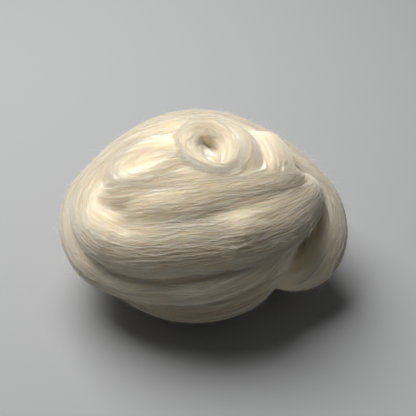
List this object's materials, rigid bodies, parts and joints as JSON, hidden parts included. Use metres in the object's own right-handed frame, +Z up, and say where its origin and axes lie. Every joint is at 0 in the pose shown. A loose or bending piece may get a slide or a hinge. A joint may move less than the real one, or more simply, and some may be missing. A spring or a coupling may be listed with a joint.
{
  "type": "wool roving",
  "caption": "Loose oval bundle of cream combed wool roving: a soft untwisted strand wound round itself, with a doubled loop on top and a bulging turn at one side",
  "frame": {"origin": "on the surface that the bundle lies on, under the middle of its outline", "axes": "+X along its longest way, towards the bulging side turn; -Y towards the open front, where the turns cross; +Z up"},
  "size_m": [0.1634, 0.1267, 0.1019],
  "materials": {
    "wool": "matte undyed cream wool with fine combed fibres and a soft sheen"
  },
  "bodies": {
    "root": {"roving_bundle": "wool"}
  },
  "joints": []
}
